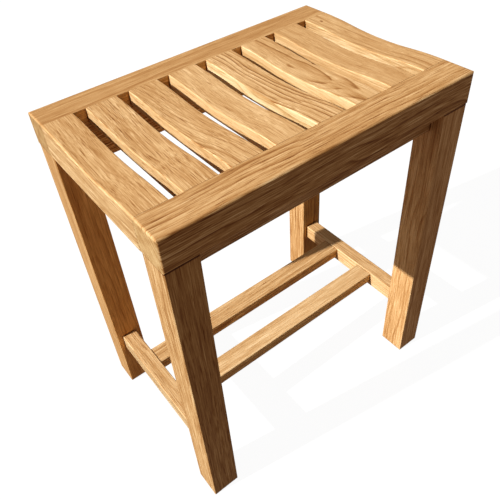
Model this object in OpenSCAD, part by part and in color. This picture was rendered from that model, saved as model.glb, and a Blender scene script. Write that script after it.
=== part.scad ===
// Slatted shower stool with a dished seat and a two-bar shelf.
// Millimetres, +Z up, origin on the floor under the middle of the seat.
// X runs along the stool, and -Y is its front.

/* [Overall] */
// Length of the stool along X
stool_l = 383; // [340:1:480]
// Depth of the stool along Y
stool_d = 257; // [230:1:320]
// Height of the seat frame above the floor
stool_h = 450; // [380:5:520]

/* [Seat] */
// Height of the two long rails and the two end boards
rail_h = 37; // [34:1:50]
// Width of an end board
end_w = 35; // [30:0.5:42]
// Clear gap between two neighbouring slats
slat_gap = 13.5; // [8:0.5:16]
// Thickness of the ends of a slat, whose underside is flat
slat_t = 17; // [15:0.5:20]
// How far the top of the seat dips below the rails in the middle
seat_dip = 4.5; // [3:0.5:9]

/* [Legs] */
// Side of the square leg
leg_s = 35.5; // [32:0.5:42]
// How far the seat frame stands out from the legs all round
lip = 1; // [0.5:0.5:3]
// Diameter of the dowel that joins a leg to its rail
dowel_d = 12; // [8:1:13]
// Length of that dowel
dowel_l = 50; // [40:1:54]

/* [Aprons] */
// How far an apron hangs below its rail
apron_drop = 27; // [17:1:40]
// Thickness of an apron, which is flush with the inner face of its rail
apron_t = 20; // [14:1:20]

/* [Shelf] */
// Height of the top of the side stretchers above the floor
stretcher_top = 102; // [80:1:200]
// Height of a side stretcher
stretcher_h = 24; // [22:1:34]
// Thickness of a side stretcher
stretcher_t = 20; // [18:1:26]
// Width of a shelf bar
bar_w = 27; // [22:1:36]
// Height of a shelf bar
bar_h = 16.5; // [14:0.5:18]
// Clear gap between the two shelf bars
bar_gap = 43.5; // [20:0.5:60]
// Step from the top of a stretcher down to the top of a bar
bar_step = 1; // [0:0.5:4]

/* [Edges] */
// Radius of the eased long edges
ease = 1.2; // [0.5:0.1:2]
// Radius of the outer edges of the seat, and of its four upright corners
corner_r = 2.5; // [2:0.5:4]
// Radius of the edges that close up against another piece
seam_r = 0.4; // [0.3:0.1:1]

/* [Hidden] */
$fn = 48;

// Gap left around every tenon and dowel, and the glue space at the end of its hole
fit = 0.15;
glue = 0.8;
// A cutter runs this far past the face that it opens
over = 1;

// Woods
TOP_WOOD = "#dba86c";
SLAT_WOOD = "#e3b47a";
SIDE_WOOD = "#cf9a5e";

// A rail is flush with the inner faces of its legs. The clear length and depth are between those.
rail_w = leg_s + lip;
inner_l = stool_l - 2 * rail_w;
inner_d = stool_d - 2 * rail_w;

// Seat plan: six slats share the length between the end boards with seven gaps
slat_count = 6;
seat_l = stool_l - 2 * end_w;
slat_w = (seat_l - (slat_count + 1) * slat_gap) / slat_count;
slat_pitch = slat_w + slat_gap;

// Height at which the legs end and the rails begin
leg_h = stool_h - rail_h;

// Tenons as [thickness, width, length]
slat_tenon = [slat_t / 2, slat_w - 8, 14];
end_tenon = [12, rail_h - 14, 9];
apron_tenon = [8, apron_drop - 4, 12];
stretcher_tenon = [10, stretcher_h - 8, 14];
bar_tenon = [8, bar_w - 8, 12];

// Distance of the middle of an apron from the middle of the stool, and the tongue along its top
apron_y = inner_d / 2 + apron_t / 2;
tongue_t = 6;
tongue_h = 5;

// Setback of the dowel's axis from both outer faces of the seat frame
dowel_set = 13.5;

// Each half of the dished seat is a rising and a falling arc of one radius
half_run = inner_d / 4;
dish_r = (half_run * half_run + seat_dip * seat_dip / 4) / seat_dip;
DISH_FN = 256;

// The side stretchers stand in the middle of the legs, this far from the middle of the stool
stretcher_in = inner_l / 2 + leg_s / 2;
bar_top = stretcher_top - bar_step;

// Takes the corner at the origin off a rectangle, to a round of radius r
module corner_cut(r) {
    difference() {
        translate([-over, -over]) square(r + over);
        translate([r, r]) circle(r);
    }
}

// Rectangle from the origin. r holds the radii at its corners, anticlockwise from the origin.
module eased_rect(w, h, r) {
    difference() {
        square([w, h]);
        corner_cut(r[0]);
        translate([w, 0]) mirror([1, 0]) corner_cut(r[1]);
        translate([w, h]) rotate(180) corner_cut(r[2]);
        translate([0, h]) mirror([0, 1]) corner_cut(r[3]);
    }
}

// Block from the origin. across_x, across_y and across_z hold the radii of its outline seen
// along X, Y and Z.
module eased_block(size, across_x, across_y, across_z) {
    intersection() {
        rotate([90, 0, 90]) linear_extrude(size.x) eased_rect(size.y, size.z, across_x);
        translate([0, size.y, 0]) rotate([90, 0, 0])
            linear_extrude(size.y) eased_rect(size.x, size.z, across_y);
        linear_extrude(size.z) eased_rect(size.x, size.y, across_z);
    }
}

// Box centred on X and Y that stands on z = 0. grow widens it and lengthens it by the glue space.
module peg(size, grow = 0) {
    long = size.z + (grow > 0 ? glue + over : 0);
    start = grow > 0 ? -over : 0;
    translate([-size.x / 2 - grow, -size.y / 2 - grow, start])
        cube([size.x + 2 * grow, size.y + 2 * grow, long]);
}

// Moves its children in whole millimetres and then by the rest, which keeps every digit of v, so
// that arcs placed with it stay tangent
module shift(v) {
    whole = [for (a = v) floor(a)];
    translate(whole) translate(v - whole) children();
}

// Section of a board, w wide and h high, swept once around the X axis at [y, z] = centre.
// The sweep starts at radius inner, and r holds the radii of the section's edges as
// [inner on -X, outer on -X, outer on +X, inner on +X].
module ring(centre, inner, w, h, r) {
    shift([0, centre.x, centre.y])
        rotate([0, 90, 0])
            rotate_extrude($fn = DISH_FN)
                shift([inner, -w / 2]) eased_rect(h, w, r);
}

// Prism along X, w wide, over an outline given in Y and Z
module across(w, outline) {
    rotate([90, 0, 90]) linear_extrude(w, center = true) polygon(outline);
}

// Board whose top follows the dish of the seat from rail to rail. The top is level with z = 0 at
// its ends, and the underside is flat, h below. r holds the radii of its edges as [top on -X,
// top on +X, both bottoms]. The rising arc turns about a centre below the rail's face and the
// falling arc about one above the middle. They meet on the line between the two centres.
module dished_board(w, h, r) {
    rise = [-inner_d / 2, -dish_r];
    fall = [0, dish_r - seat_dip];
    deep = h + over;
    intersection() {
        union() {
            for (end = [0, 1]) mirror([0, end, 0])
                intersection() {
                    ring(rise, dish_r - deep, w, deep, [r[2], r[0], r[1], r[2]]);
                    across(2 * w, [rise, fall, [rise.x, fall.y]]);
                }
            intersection() {
                ring(fall, dish_r, w, deep, [r[0], r[2], r[2], r[1]]);
                across(2 * w, [fall, rise, [-rise.x, rise.y]]);
            }
        }
        translate([-w / 2, inner_d / 2, -h]) rotate([90, 0, 0])
            linear_extrude(inner_d) eased_rect(w, deep, [r[2], r[2], r[2], r[2]]);
    }
}

// Places its children at the two ends of a board that runs along Y, tenon axis outwards
module at_board_ends(z) {
    for (end = [0, 1]) mirror([0, end, 0])
        translate([0, -inner_d / 2, z]) rotate([90, 0, 0]) children();
}

// Centre of slat i along X, counted from 1 at the left
function slat_x(i) = -seat_l / 2 + i * slat_pitch - slat_w / 2;

// Centre of the left end board along X
end_x = -stool_l / 2 + end_w / 2;

module slat_tenon_peg(grow = 0) {
    peg([slat_tenon[1], slat_tenon[0], slat_tenon[2]], grow);
}

module end_tenon_peg(grow = 0) {
    peg([end_tenon[0], end_tenon[1], end_tenon[2]], grow);
}

module slat(i) {
    color(SLAT_WOOD)
        translate([slat_x(i), 0, stool_h]) {
            dished_board(slat_w, slat_t, [ease, ease, seam_r]);
            at_board_ends(-slat_t / 2) slat_tenon_peg();
        }
}

// The left end board. The outer top edge has the large radius.
module end_board() {
    color(TOP_WOOD)
        translate([end_x, 0, stool_h]) {
            dished_board(end_w, rail_h, [corner_r, ease, seam_r]);
            at_board_ends(-rail_h / 2) end_tenon_peg();
        }
}

// Centre of the dowel of the front left leg
module at_dowel() {
    translate([-stool_l / 2 + dowel_set, -stool_d / 2 + dowel_set, leg_h]) children();
}

module dowel(grow = 0) {
    long = dowel_l + (grow > 0 ? 2 * glue : 0);
    translate([0, 0, -long / 2]) cylinder(d = dowel_d + 2 * grow, h = long);
}

// The front rail, with its mortises, the groove for the apron and the holes for the dowels
module rail() {
    color(TOP_WOOD)
        difference() {
            translate([-stool_l / 2, -stool_d / 2, leg_h])
                eased_block(
                    [stool_l, rail_w, rail_h],
                    [ease, seam_r, seam_r, corner_r],
                    [ease, ease, corner_r, corner_r],
                    [corner_r, corner_r, seam_r, seam_r]
                );
            for (i = [1 : slat_count])
                translate([slat_x(i), -inner_d / 2, stool_h - slat_t / 2])
                    rotate([90, 0, 0]) slat_tenon_peg(fit);
            for (side = [0, 1]) mirror([side, 0, 0]) {
                translate([end_x, -inner_d / 2, stool_h - rail_h / 2])
                    rotate([90, 0, 0]) end_tenon_peg(fit);
                at_dowel() dowel(fit);
            }
            translate([
                -inner_l / 2,
                -apron_y - tongue_t / 2 - fit,
                leg_h - over
            ])
                cube([inner_l, tongue_t + 2 * fit, tongue_h + fit + over]);
        }
}

// Places its children at the left end of the front apron, tenon axis outwards
module at_apron_end() {
    translate([-inner_l / 2, -apron_y, leg_h - apron_drop / 2])
        rotate([0, -90, 0]) children();
}

module apron_tenon_peg(grow = 0) {
    peg([apron_tenon[1], apron_tenon[0], apron_tenon[2]], grow);
}

// The front apron, tenoned into the legs, with a tongue in the groove of the rail
module apron() {
    color(SIDE_WOOD) {
        translate([-inner_l / 2, -apron_y - apron_t / 2, leg_h - apron_drop])
            eased_block(
                [inner_l, apron_t, apron_drop],
                [ease, ease, seam_r, seam_r],
                [seam_r, seam_r, seam_r, seam_r],
                [seam_r, seam_r, seam_r, seam_r]
            );
        translate([-inner_l / 2 + over, -apron_y - tongue_t / 2, leg_h - apron_drop / 2])
            cube([inner_l - 2 * over, tongue_t, apron_drop / 2 + tongue_h]);
        for (side = [0, 1]) mirror([side, 0, 0]) at_apron_end() apron_tenon_peg();
    }
}

// Places its children at the front end of the left side stretcher, tenon axis outwards
module at_stretcher_end() {
    translate([-stretcher_in, -inner_d / 2, stretcher_top - stretcher_h / 2])
        rotate([90, 0, 0]) children();
}

module stretcher_tenon_peg(grow = 0) {
    peg([stretcher_tenon[0], stretcher_tenon[1], stretcher_tenon[2]], grow);
}

// The front left leg, with its mortises and the hole for its dowel
module leg() {
    color(SIDE_WOOD)
        difference() {
            translate([-stool_l / 2 + lip, -stool_d / 2 + lip, 0])
                eased_block(
                    [leg_s, leg_s, leg_h],
                    [ease, ease, ease, ease],
                    [ease, ease, ease, ease],
                    [ease, ease, ease, ease]
                );
            at_dowel() dowel(fit);
            at_apron_end() apron_tenon_peg(fit);
            at_stretcher_end() stretcher_tenon_peg(fit);
        }
}

// Places its children at the left end of the front shelf bar, tenon axis outwards
module at_bar_end() {
    translate([-stretcher_in + stretcher_t / 2, -bar_gap / 2 - bar_w / 2, bar_top - bar_h / 2])
        rotate([0, -90, 0]) children();
}

module bar_tenon_peg(grow = 0) {
    peg([bar_tenon[0], bar_tenon[1], bar_tenon[2]], grow);
}

// The left side stretcher, tenoned into two legs, with a mortise for each shelf bar
module side_stretcher() {
    color(SIDE_WOOD)
        difference() {
            union() {
                translate([-stretcher_in - stretcher_t / 2, -inner_d / 2, stretcher_top - stretcher_h])
                    eased_block(
                        [stretcher_t, inner_d, stretcher_h],
                        [seam_r, seam_r, seam_r, seam_r],
                        [ease, ease, ease, ease],
                        [seam_r, seam_r, seam_r, seam_r]
                    );
                for (end = [0, 1]) mirror([0, end, 0]) at_stretcher_end() stretcher_tenon_peg();
            }
            for (end = [0, 1]) mirror([0, end, 0]) at_bar_end() bar_tenon_peg(fit);
        }
}

// The front shelf bar, tenoned into the two side stretchers
module shelf_bar() {
    span = 2 * stretcher_in - stretcher_t;
    color(SIDE_WOOD) {
        translate([-span / 2, -bar_gap / 2 - bar_w, bar_top - bar_h])
            eased_block(
                [span, bar_w, bar_h],
                [ease, ease, ease, ease],
                [seam_r, seam_r, seam_r, seam_r],
                [seam_r, seam_r, seam_r, seam_r]
            );
        for (side = [0, 1]) mirror([side, 0, 0]) at_bar_end() bar_tenon_peg();
    }
}

// One dowel stands in each leg and reaches up into the rail
module leg_dowels() {
    color(TOP_WOOD)
        for (side = [0, 1], end = [0, 1])
            mirror([side, 0, 0]) mirror([0, end, 0]) at_dowel() dowel();
}

rail();  // rail_front
mirror([0, 1, 0]) rail();  // rail_back
end_board();  // end_board_left
mirror([1, 0, 0]) end_board();  // end_board_right
slat(1);  // slat_1
slat(2);  // slat_2
slat(3);  // slat_3
slat(4);  // slat_4
slat(5);  // slat_5
slat(6);  // slat_6
leg();  // leg_front_left
mirror([1, 0, 0]) leg();  // leg_front_right
mirror([0, 1, 0]) leg();  // leg_back_left
mirror([1, 0, 0]) mirror([0, 1, 0]) leg();  // leg_back_right
apron();  // apron_front
mirror([0, 1, 0]) apron();  // apron_back
side_stretcher();  // side_stretcher_left
mirror([1, 0, 0]) side_stretcher();  // side_stretcher_right
shelf_bar();  // shelf_bar_front
mirror([0, 1, 0]) shelf_bar();  // shelf_bar_back
leg_dowels();
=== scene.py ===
"""Looks of the slatted shower stool: oiled teak, a pale floor and soft studio light."""
import math
from typing import NamedTuple

import bpy
from mathutils import Euler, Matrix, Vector


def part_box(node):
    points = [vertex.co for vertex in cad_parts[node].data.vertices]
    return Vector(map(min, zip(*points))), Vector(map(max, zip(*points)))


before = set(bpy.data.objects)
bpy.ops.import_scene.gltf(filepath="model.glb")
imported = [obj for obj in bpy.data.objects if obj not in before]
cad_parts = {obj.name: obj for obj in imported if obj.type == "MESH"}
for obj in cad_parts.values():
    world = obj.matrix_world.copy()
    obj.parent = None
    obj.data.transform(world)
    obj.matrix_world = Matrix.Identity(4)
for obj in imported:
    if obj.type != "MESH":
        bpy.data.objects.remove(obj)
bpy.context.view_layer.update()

MM = 0.001

# Oiled teak as linear red, green and blue. Where the wood is s times as bright, each of the three
# is scaled by s to its own power, so that dark wood is redder and bright wood is paler.
TEAK = (0.530, 0.312, 0.134)
HUE_POWERS = (1.0, 1.5, 2.2)

# Painted light and shade: tints of the faces towards -X and +X, which are painted paler and less red as
# sunlit faces look, and of the faces towards -Y and +Y, which are painted redder as shaded faces look. They
# were tuned under this scene's lights and aren't a property of teak.
SIDE_LIGHT_TINT = (0.96, 1.05, 1.14)
FRONT_SHADE_TINT = (1.0, 0.93, 0.70)

# Sizes of what the grain is made of, in millimetres: along the grain, and the two ways across it
STREAK_SIZE = (60.0, 1.5, 1.5)
FIBRE_SIZE = (24.0, 0.8, 0.8)
CLOUD_SIZE = (220.0, 10.0, 10.0)
DASH_SIZE = (26.0, 0.75, 1.8)
PORE_SIZE = (4.0, 0.35, 0.35)
SWAY_SIZES = ((120.0, 38.0, 38.0), (100.0, 38.0, 38.0))
RING_PATCH_SIZE = (120.0, 9.0, 9.0)

# Where each of them is read in the noise, so that no two of them line up
FIBRE_START = (90.0, 31.0, 17.0)
CLOUD_START = (40.0, 5.0, 60.0)
DASH_START = (7.0, 51.0, 3.0)
PORE_START = (3.0, 8.0, 71.0)
SWAY_START = (300.0, 70.0, 20.0)

# How much each thing changes the brightness of the wood. Streaks, dashes and rings are also scaled
# by the strength that their board gives. CREVICE_SHADE is the painted shade that a full crevice takes away.
CLOUD_SHADE = 0.60
STREAK_SHADE = 0.75
FIBRE_SHADE = 0.85
DASH_SHADE = -0.42
PORE_SHADE = -0.14
RING_SHADE = -1.0
END_SHADE = -0.14
# EDGE_SHADE lightens rounded edges, partly as worn finish and partly as a painted highlight.
EDGE_SHADE = 0.13
CREVICE_SHADE = 0.80
# SEAM_SHADE is painted shade at the top of a leg, under the rail.
SEAM_SHADE = -0.75
KNOT_SHADE = -0.60

# Ranges over which each thing changes between none and full. They are of noise for the first three,
# of how open a place is for the painted shade of crevices, of millimetres from a leg's top for the painted
# shade of the seam there, and of the half sizes of a knot.
DASH_FADE = (0.58, 0.70)
PORE_FADE = (0.56, 0.70)
RING_FADE = (0.28, 0.62)
CREVICE_FADE = (0.35, 0.95)
SEAM_FADE = (-2.8, -1.8)
KNOT_FADE = (0.5, 1.1)

# How far the painted shade of a crevice reaches from where pieces meet, in metres
CREVICE = 3.0 * MM

# Streaks, fibre and dashes are weaker on faces that turn across the grain, and dashes are also
# weaker on upright faces
TURNING_CALM = -0.75
UPRIGHT_CALM = -0.45

# Rings waver by up to half of the first, in millimetres, and uneven growth shifts them by up to the
# second, in rings
RING_SWAY = 17.0
RING_UNEVEN = 1.6

# Distance in grain space between one piece's patch of wood and the next
PATCH_STEP = 613.0

# Half sizes of a knot, and a distance that puts a knot or a seam out of reach
KNOT_SIZE = (3.2, 1.8, 3.0)
FAR = 1e5

# Roughness of plain wood, and what dashes, fibre, edges and sawn ends add to it
ROUGHNESS = 0.52
DASH_ROUGH = 0.15
FIBRE_ROUGH = 0.25
EDGE_ROUGH = -0.08
END_ROUGH = 0.12

# How far dashes, pores and rings sink in and fibre stands out, as parts of the bump's distance
DASH_RISE = -0.6
PORE_RISE = -0.5
RING_RISE = -0.2
FIBRE_RISE = 0.5
BUMP_STRENGTH = 0.35
BUMP_DISTANCE = 0.25 * MM


# ---------------------------------------------------------------- boards

class Board(NamedTuple):
    """The looks of one piece: how it was cut from the log, and the light and shade painted on its faces.

    Lengths are in millimetres and angles in degrees.
    """
    grain: str            # the axis that its grain runs along
    light: float          # brightness
    pith: tuple           # from its centre to the middle of the log, across the grain
    ring: float           # width of a growth ring
    figure: float         # strength of the growth rings
    streak: float         # strength of the long streaks
    dash: float           # strength of the short dark dashes
    drift: tuple = (0.02, 0.01)   # sideways move of the pith for each unit of length
    run_out: float = 0.0  # angle between its grain and its length
    side: float = 0.0     # painted light: how much brighter its faces towards -X and +X are painted
    front: float = 0.0    # painted light: how much brighter its faces towards -Y and +Y are painted
    pale: float = 1.0     # how far its faces towards -X and +X take the paler tint painted on sunlit faces
    saw: float = 0.0      # how much stronger streaks and fibre are on upright faces, and rings if below 0
    front_shade_tint: float = 1.0    # how far its faces towards -Y and +Y take the redder tint painted on shaded faces
    knot: tuple = None    # a small knot, from its centre as (along, across, up)


BOARDS = {
    "rail_front": Board(
        "X", 0.97, (70, -50), 5.0, 0.70, 1.1, 1.4,
        run_out=0.6, side=0.04, front=0.05, pale=2.2, saw=1.3, front_shade_tint=0.35,
    ),
    "rail_back": Board(
        "X", 0.88, (-70, -60), 9.0, 0.30, 0.7, 0.6,
        drift=(0.03, 0.0), run_out=-0.5, side=-0.08, front=0.46, pale=2.2, saw=0.8,
    ),
    "end_board_left": Board(
        "Y", 0.99, (-60, -70), 7.0, 0.16, 1.0, 1.0,
        drift=(0.05, 0.02), run_out=2.0, side=-0.08, saw=0.5,
    ),
    "end_board_right": Board(
        "Y", 1.06, (90, -12), 9.0, 0.44, 0.7, 0.6,
        drift=(0.03, 0.02), run_out=-0.8, saw=0.4, knot=(76, 4, 18),
    ),
    "slat_1": Board(
        "Y", 1.03, (50, -60), 3.5, 0.40, 1.3, 1.5,
        drift=(0.10, 0.05), run_out=3.0, side=0.02, saw=-0.4,
    ),
    "slat_2": Board(
        "Y", 1.06, (-60, -50), 3.2, 0.50, 0.9, 1.2,
        drift=(0.08, 0.05), run_out=-2.0, side=0.08, saw=-0.4,
    ),
    "slat_3": Board(
        "Y", 1.08, (70, -40), 6.0, 0.20, 0.7, 1.0,
        drift=(0.04, 0.02), run_out=1.0, side=0.10, saw=-0.4,
    ),
    "slat_4": Board(
        "Y", 1.16, (-70, -38), 6.0, 1.00, 0.9, 1.0,
        drift=(0.02, 0.03), run_out=-1.0, side=0.20, pale=2.0, saw=-0.5,
    ),
    "slat_5": Board(
        "Y", 1.06, (10, -42), 5.5, 0.72, 0.6, 0.6,
        drift=(0.16, 0.10), run_out=1.5, side=0.12, pale=1.3, saw=-0.6, knot=(7, -17, 4),
    ),
    "slat_6": Board(
        "Y", 0.98, (60, -90), 9.0, 0.14, 0.6, 0.5,
        run_out=0.5, side=0.03,
    ),
    "leg_front_left": Board(
        "Z", 0.88, (-55, 60), 6.5, 0.38, 1.0, 1.4,
        run_out=0.8, saw=0.7, front_shade_tint=0.6,
    ),
    "leg_front_right": Board(
        "Z", 1.01, (-50, 80), 7.0, 0.50, 0.9, 1.0,
        run_out=0.3, side=0.06, front=0.24, pale=0.0, saw=0.5, front_shade_tint=0.0,
    ),
    "leg_back_left": Board(
        "Z", 0.85, (60, 50), 7.0, 0.38, 0.7, 0.8,
        run_out=-0.6, side=-0.03, front=0.8, pale=0.8, saw=0.1,
    ),
    "leg_back_right": Board(
        "Z", 0.93, (-70, 40), 7.0, 0.50, 1.0, 1.0,
        run_out=0.5, side=0.06, pale=0.3, saw=0.8, front_shade_tint=1.5,
    ),
    "apron_front": Board(
        "X", 0.96, (40, 60), 5.0, 0.50, 1.0, 1.3,
        run_out=0.4, saw=1.7, front_shade_tint=0.0,
    ),
    "apron_back": Board(
        "X", 0.92, (-50, 50), 5.0, 0.50, 1.0, 1.3,
        run_out=-0.4, front=0.36, saw=1.7,
    ),
    "side_stretcher_left": Board(
        "Y", 1.13, (40, 50), 5.0, 0.35, 0.9, 1.2,
        drift=(0.03, 0.04), run_out=0.8, side=-0.19, saw=0.9,
    ),
    "side_stretcher_right": Board(
        "Y", 1.14, (-45, 60), 5.0, 0.40, 0.9, 1.0,
        drift=(0.04, 0.02), run_out=-0.5, side=0.06, pale=0.6,
    ),
    "shelf_bar_front": Board(
        "X", 1.20, (55, -50), 6.0, 0.18, 0.45, 0.5,
        drift=(0.03, 0.03), run_out=0.8, front=0.12, saw=1.8,
    ),
    "shelf_bar_back": Board(
        "X", 1.08, (-60, -40), 6.0, 0.36, 0.9, 1.1,
        drift=(0.02, 0.03), run_out=-0.6, front=0.24, saw=1.4,
    ),
    "leg_dowels": Board("Z", 1.10, (30, 30), 2.5, 0.20, 0.6, 0.4),
}

# Number inputs of the teak group
NUMBERS = ("Ring", "Figure", "Streak", "Dash", "Light", "Side", "FrontLight", "SunlitTint", "Saw", "ShadedTint", "Seam")

# Turns each grain axis onto X
TURNS = {
    "X": Euler((0, 0, 0)),
    "Y": Euler((0, 0, math.radians(-90))),
    "Z": Euler((0, math.radians(90), 0)),
}
GRAIN_VECTORS = {"X": (1, 0, 0), "Y": (0, 1, 0), "Z": (0, 0, 1)}


# ---------------------------------------------------------------- node trees

class Graph:
    """Adds nodes to one tree and links them."""

    def __init__(self, tree):
        self.tree = tree

    def put(self, value, socket):
        if isinstance(value, bpy.types.NodeSocket):
            self.tree.links.new(value, socket)
        else:
            socket.default_value = value

    def node(self, kind, inputs=None, **settings):
        made = self.tree.nodes.new(kind)
        for name, value in settings.items():
            setattr(made, name, value)
        for key, value in (inputs or {}).items():
            self.put(value, made.inputs[key])
        return made

    def math(self, operation, *values, clamp=False):
        made = self.node("ShaderNodeMath", operation=operation, use_clamp=clamp)
        for socket, value in zip(made.inputs, values):
            self.put(value, socket)
        return made.outputs[0]

    def product(self, first, *others):
        for other in others:
            first = self.math("MULTIPLY", first, other)
        return first

    def vary(self, amount, strength, middle=0.0):
        """1 + strength x (amount - middle)"""
        away = self.math("SUBTRACT", amount, middle)
        return self.math("MULTIPLY_ADD", away, strength, 1.0)

    def vector(self, operation, *values, out=0):
        made = self.node("ShaderNodeVectorMath", operation=operation)
        for socket, value in zip(made.inputs, values):
            self.put(value, socket)
        return made.outputs[out]

    def noise(self, place, stretch, detail=2.0, roughness=0.5, start=(0.0, 0.0, 0.0)):
        """Noise from 0 to 1 whose features are about as long as stretch along each axis."""
        scaled = self.vector("DIVIDE", self.vector("ADD", place, start), stretch)
        made = self.node(
            "ShaderNodeTexNoise",
            {"Vector": scaled, "Scale": 1.0, "Detail": detail, "Roughness": roughness},
        )
        return made.outputs["Fac"]

    def step(self, value, start, end):
        """Smooth step from 0 at start to 1 at end."""
        made = self.node(
            "ShaderNodeMapRange",
            {"Value": value, "From Min": start, "From Max": end},
            interpolation_type="SMOOTHSTEP",
        )
        return made.outputs["Result"]

    def mix(self, factor, first, second):
        made = self.node("ShaderNodeMix", data_type="RGBA")
        self.put(factor, made.inputs["Factor"])
        for socket, value in ((made.inputs["A"], first), (made.inputs["B"], second)):
            colour = value if isinstance(value, bpy.types.NodeSocket) else (*value, 1.0)
            self.put(colour, socket)
        return made.outputs["Result"]


def teak_group():
    """Node group: colour, roughness and height of teak at a place in grain space, in millimetres."""
    tree = bpy.data.node_groups.new("teak", "ShaderNodeTree")
    face = tree.interface
    for name in ("Place", "Pith", "Drift", "End", "Knot"):
        face.new_socket(name, in_out="INPUT", socket_type="NodeSocketVector")
    for name in NUMBERS:
        face.new_socket(name, in_out="INPUT", socket_type="NodeSocketFloat")
    face.new_socket("Color", in_out="OUTPUT", socket_type="NodeSocketColor")
    for name in ("Roughness", "Height"):
        face.new_socket(name, in_out="OUTPUT", socket_type="NodeSocketFloat")

    g = Graph(tree)
    given = g.node("NodeGroupInput").outputs
    place = given["Place"]
    rings = growth_rings(g, given)
    streaks = g.noise(place, STREAK_SIZE, roughness=0.55)
    fibre = g.noise(place, FIBRE_SIZE, roughness=0.6, start=FIBRE_START)
    cloud = g.noise(place, CLOUD_SIZE, start=CLOUD_START)
    dashes = g.step(g.noise(place, DASH_SIZE, detail=1.5, start=DASH_START), *DASH_FADE)
    pores = g.step(g.noise(place, PORE_SIZE, detail=1.0, start=PORE_START), *PORE_FADE)
    along = g.node("ShaderNodeSeparateXYZ", {0: place}).outputs[0]
    # Painted shade: a dark band just below a leg's top, where it meets the rail
    seam = g.step(g.math("SUBTRACT", along, given["Seam"]), *SEAM_FADE)
    off_knot = g.vector("DIVIDE", g.vector("SUBTRACT", place, given["Knot"]), KNOT_SIZE)
    knot = g.math("SUBTRACT", 1.0, g.step(g.vector("LENGTH", off_knot, out=1), *KNOT_FADE))
    masks = facings(g, given)
    calm = g.vary(masks["turning"], TURNING_CALM)
    sawn = g.vary(masks["upright"], given["Saw"])
    coarse = g.math("MULTIPLY", sawn, calm)
    figured = g.math("MINIMUM", sawn, 1.0)
    # Painted shade: ambient occlusion darkens the colour at places within CREVICE of other faces.
    hollow = g.node("ShaderNodeAmbientOcclusion", {"Distance": CREVICE}, samples=8)
    openness = g.step(hollow.outputs["AO"], *CREVICE_FADE)

    bright = g.product(
        given["Light"],
        g.vary(cloud, CLOUD_SHADE, 0.5),
        g.vary(streaks, g.product(given["Streak"], coarse, STREAK_SHADE), 0.5),
        g.vary(fibre, g.product(coarse, FIBRE_SHADE), 0.5),
        g.vary(dashes, g.product(given["Dash"], calm, g.vary(masks["upright"], UPRIGHT_CALM), DASH_SHADE)),
        g.vary(pores, PORE_SHADE),
        g.vary(rings, g.product(given["Figure"], figured, RING_SHADE)),
        g.vary(masks["end"], END_SHADE),
        # Rounded edges lighter: partly worn finish, partly a painted highlight
        g.vary(masks["edge"], EDGE_SHADE),
        g.vary(openness, CREVICE_SHADE, 1.0),
        # Painted shade under the rail at a leg's top
        g.vary(seam, SEAM_SHADE),
        g.vary(knot, KNOT_SHADE),
    )
    # Painted light and shade: each board's gains make its faces towards -X and +X and towards -Y and +Y
    # brighter or darker, and its tints paint the -X and +X faces paler as if sunlit and the -Y and +Y faces
    # redder as if shaded.
    shade = g.product(g.vary(masks["side"], given["Side"]), g.vary(masks["front"], given["FrontLight"]))
    painted_side_light = g.math("MULTIPLY", masks["side"], given["SunlitTint"])
    painted_front_shade = g.math("MULTIPLY", masks["front"], given["ShadedTint"])
    parts = []
    for amount, power, pale, front_shade_tint in zip(TEAK, HUE_POWERS, SIDE_LIGHT_TINT, FRONT_SHADE_TINT):
        part = g.product(g.math("POWER", bright, power), shade, amount)
        parts.append(g.product(part, g.vary(painted_side_light, pale - 1.0), g.vary(painted_front_shade, front_shade_tint - 1.0)))
    colour = g.node("ShaderNodeCombineColor", dict(enumerate(parts))).outputs[0]

    rough = g.math("MULTIPLY_ADD", dashes, DASH_ROUGH, ROUGHNESS)
    rough = g.math("MULTIPLY_ADD", g.math("SUBTRACT", fibre, 0.5), FIBRE_ROUGH, rough)
    rough = g.math("MULTIPLY_ADD", masks["edge"], EDGE_ROUGH, rough)
    rough = g.math("MULTIPLY_ADD", masks["end"], END_ROUGH, rough, clamp=True)

    height = g.math("MULTIPLY", dashes, DASH_RISE)
    height = g.math("MULTIPLY_ADD", pores, PORE_RISE, height)
    height = g.math("MULTIPLY_ADD", rings, RING_RISE, height)
    height = g.math("MULTIPLY_ADD", fibre, FIBRE_RISE, height)
    height = g.math("MULTIPLY", height, calm)
    g.node("NodeGroupOutput", {"Color": colour, "Roughness": rough, "Height": height})
    return tree


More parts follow.
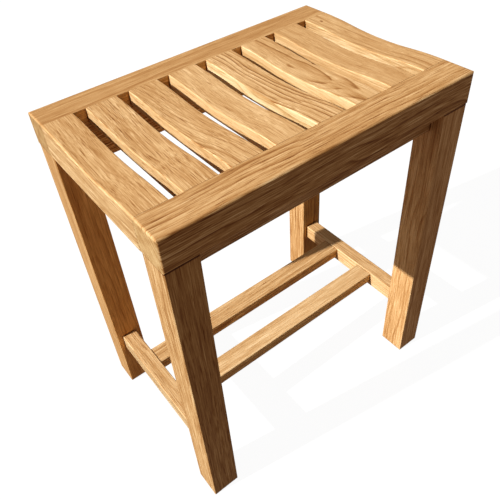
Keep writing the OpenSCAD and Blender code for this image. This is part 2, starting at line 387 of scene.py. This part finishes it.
def growth_rings(g, given):
    """Dark late wood, from 0 to 1. The rings are wavering cylinders about the pith.

    Late wood is a broad soft band with a thin dark line in it, and it fades in and out along the board.
    """
    place = given["Place"]
    along = g.node("ShaderNodeSeparateXYZ", {0: place}).outputs[0]
    sway_y = g.noise(place, SWAY_SIZES[0], detail=1.5)
    sway_z = g.noise(place, SWAY_SIZES[1], detail=1.5, start=SWAY_START)
    sway = g.node("ShaderNodeCombineXYZ", {1: sway_y, 2: sway_z}).outputs[0]
    sway = g.vector("MULTIPLY", g.vector("SUBTRACT", sway, (0.0, 0.5, 0.5)), (0.0, RING_SWAY, RING_SWAY))
    lean = g.vector("SCALE", given["Drift"], (0, 0, 0), (0, 0, 0), along)
    across = g.vector("MULTIPLY", g.vector("ADD", place, sway), (0.0, 1.0, 1.0))
    across = g.vector("SUBTRACT", g.vector("SUBTRACT", across, given["Pith"]), lean)
    count = g.math("DIVIDE", g.vector("LENGTH", across, out=1), given["Ring"])
    uneven = g.node("ShaderNodeTexNoise", {"W": count, "Scale": 0.45, "Detail": 1.0}, noise_dimensions="1D")
    count = g.math("MULTIPLY_ADD", uneven.outputs["Fac"], RING_UNEVEN, count)
    phase = g.math("FRACT", count)
    broad = g.math("MULTIPLY", g.math("POWER", phase, 1.5), 0.35)
    rise = g.math("MULTIPLY_ADD", g.math("POWER", phase, 7.0), 0.9, broad)
    fall = g.math("SUBTRACT", 1.0, g.step(phase, 0.90, 1.0))
    strength = g.step(g.noise(place, RING_PATCH_SIZE), *RING_FADE)
    return g.product(rise, fall, strength)


def facings(g, given):
    """Masks from 0 to 1 that say which way a face turns.

    They are 1 on sawn ends, on faces that turn across the grain, on faces towards -X and +X, on faces
    towards -Y and +Y, on upright faces and on rounded edges.
    """
    normal = g.node("ShaderNodeTexCoord").outputs["Normal"]
    facing = g.math("ABSOLUTE", g.vector("DOT_PRODUCT", normal, given["End"], out=1))
    sizes = [g.math("ABSOLUTE", part) for part in g.node("ShaderNodeSeparateXYZ", {0: normal}).outputs]
    largest = g.math("MAXIMUM", g.math("MAXIMUM", sizes[0], sizes[1]), sizes[2])
    return {
        "end": g.step(facing, 0.75, 0.92),
        "turning": g.step(facing, 0.20, 0.75),
        "side": g.step(sizes[0], 0.60, 0.95),
        "front": g.step(sizes[1], 0.60, 0.95),
        "upright": g.step(g.math("SUBTRACT", 1.0, sizes[2]), 0.25, 0.75),
        "edge": g.step(g.math("SUBTRACT", 1.0, largest), 0.03, 0.22),
    }


def teak_material(name, board, group, number):
    """Material of one piece: the teak group, placed and turned to suit the piece."""
    material = bpy.data.materials.new("teak_" + name)
    material.use_nodes = True
    material.node_tree.nodes.clear()
    g = Graph(material.node_tree)
    low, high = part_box(name)
    turn = TURNS[board.grain].copy()
    turn.rotate_axis("Z", math.radians(board.run_out))
    start = -(turn.to_matrix() @ ((low + high) / 2)) / MM
    grain_place = g.node(
        "ShaderNodeMapping",
        {
            "Vector": g.node("ShaderNodeTexCoord").outputs["Object"],
            "Location": start,
            "Rotation": turn,
            "Scale": (1 / MM, 1 / MM, 1 / MM),
        },
    ).outputs[0]
    patch = PATCH_STEP * number
    drift = Vector((0.0, *board.drift))
    knot = board.knot or (FAR, 0, 0)
    # Only legs get the painted shade below their top; for other pieces it is out of reach.
    top = (high.z - low.z) / 2 / MM if board.grain == "Z" else FAR
    teak = g.node("ShaderNodeGroup", node_tree=group)
    values = {
        "Place": g.vector("ADD", grain_place, (patch, 0.0, 0.0)),
        "Pith": Vector((0.0, *board.pith)) - drift * patch,
        "Drift": drift,
        "Knot": (knot[0] + patch, knot[1], knot[2]),
        "End": GRAIN_VECTORS[board.grain],
        "Ring": board.ring,
        "Figure": board.figure,
        "Streak": board.streak,
        "Dash": board.dash,
        "Light": board.light,
        "Side": board.side,
        "FrontLight": board.front,
        "SunlitTint": board.pale,
        "Saw": board.saw,
        "ShadedTint": board.front_shade_tint,
        "Seam": top + patch,
    }
    for key, value in values.items():
        g.put(value, teak.inputs[key])
    bump = g.node(
        "ShaderNodeBump",
        {"Height": teak.outputs["Height"], "Strength": BUMP_STRENGTH, "Distance": BUMP_DISTANCE},
    )
    shader = g.node(
        "ShaderNodeBsdfPrincipled",
        {
            "Base Color": teak.outputs["Color"],
            "Roughness": teak.outputs["Roughness"],
            "Normal": bump.outputs[0],
            "IOR": 1.45,
            "Specular IOR Level": 0.25,
        },
    )
    g.node("ShaderNodeOutputMaterial", {"Surface": shader.outputs[0]})
    return material


def finish_wood():
    """Gives every CAD piece its own board of teak."""
    group = teak_group()
    for number, (name, board) in enumerate(BOARDS.items()):
        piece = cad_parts[name]
        piece.data.materials.clear()
        piece.data.materials.append(teak_material(name, board, group, number))


# ---------------------------------------------------------------- studio

def pale_floor():
    """A wide pale floor that the camera sees, and that throws no light back on the stool.

    It lies a hair below the feet, so that no two faces are in one plane.
    """
    reach = 6.0
    down = -0.2 * MM
    mesh = bpy.data.meshes.new("floor")
    corners = [(-reach, -reach, down), (reach, -reach, down), (reach, reach, down), (-reach, reach, down)]
    mesh.from_pydata(corners, [], [(0, 1, 2, 3)])
    floor = bpy.data.objects.new("floor", mesh)
    bpy.context.scene.collection.objects.link(floor)
    material = bpy.data.materials.new("floor")
    material.use_nodes = True
    shader = material.node_tree.nodes["Principled BSDF"]
    shader.inputs["Base Color"].default_value = (0.08, 0.08, 0.08, 1.0)
    shader.inputs["Roughness"].default_value = 0.9
    shader.inputs["Specular IOR Level"].default_value = 0.0
    shader.inputs["Emission Color"].default_value = (1.0, 1.0, 1.0, 1.0)
    shader.inputs["Emission Strength"].default_value = 0.95
    mesh.materials.append(material)
    floor.visible_diffuse = False
    floor.visible_glossy = False


def studio_sky(above, below, backdrop):
    """Soft light from above, warmer light from below, and a white backdrop for the camera."""
    world = bpy.data.worlds.new("studio")
    world.use_nodes = True
    world.node_tree.nodes.clear()
    g = Graph(world.node_tree)
    direction = g.node("ShaderNodeTexCoord").outputs["Generated"]
    height = g.node("ShaderNodeSeparateXYZ", {0: direction}).outputs[2]
    fill = g.mix(g.step(height, -0.15, 0.15), below, above)
    seen = g.node("ShaderNodeLightPath").outputs["Is Camera Ray"]
    light = g.node("ShaderNodeBackground", {"Color": g.mix(seen, fill, backdrop), "Strength": 1.0})
    g.node("ShaderNodeOutputWorld", {"Surface": light.outputs[0]})
    bpy.context.scene.world = world


def key_light(direction, strength, angle):
    """The main lamp. It shines along direction, and angle softens the edges of its shadows."""
    lamp = bpy.data.lights.new("key", "SUN")
    lamp.energy = strength
    lamp.angle = math.radians(angle)
    lamp.color = (1.0, 0.985, 0.96)
    holder = bpy.data.objects.new("key", lamp)
    holder.rotation_euler = Vector(direction).to_track_quat("-Z", "Y").to_euler()
    bpy.context.scene.collection.objects.link(holder)


def soft_box(name, place, target, size, power):
    """A square area lamp at place that faces target."""
    lamp = bpy.data.lights.new(name, "AREA")
    lamp.size = size
    lamp.energy = power
    holder = bpy.data.objects.new(name, lamp)
    holder.location = place
    holder.rotation_euler = (Vector(target) - Vector(place)).to_track_quat("-Z", "Y").to_euler()
    bpy.context.scene.collection.objects.link(holder)


def camera():
    """High three-quarter view of the front and the left end."""
    lens = bpy.data.cameras.new("camera")
    lens.sensor_width = 36.0
    lens.lens = 41.2
    lens.shift_x = 0.013
    lens.shift_y = -0.0416
    holder = bpy.data.objects.new("camera", lens)
    holder.location = (-0.3110, -0.4271, 0.7411)
    holder.rotation_euler = [math.radians(a) for a in (47.576, 3.911, -37.381)]
    bpy.context.scene.collection.objects.link(holder)
    bpy.context.scene.camera = holder


def plain_colour():
    """Shows colours as they are, with no film look."""
    bpy.context.scene.view_settings.view_transform = "Standard"
    bpy.context.scene.view_settings.look = "None"


finish_wood()
pale_floor()
studio_sky(above=(0.16, 0.14, 0.12), below=(0.26, 0.175, 0.13), backdrop=(1.0, 1.0, 1.0))
key_light(direction=(1.0, -0.17, -0.73), strength=6.13, angle=0.8)
soft_box("left_box", (-2.2, 0.5, 0.8), (0, 0, 0.25), 1.2, 9.0)
soft_box("top_box", (0, 0.1, 2.0), (0, 0, 0.4), 1.6, 5.5)
camera()
plain_colour()
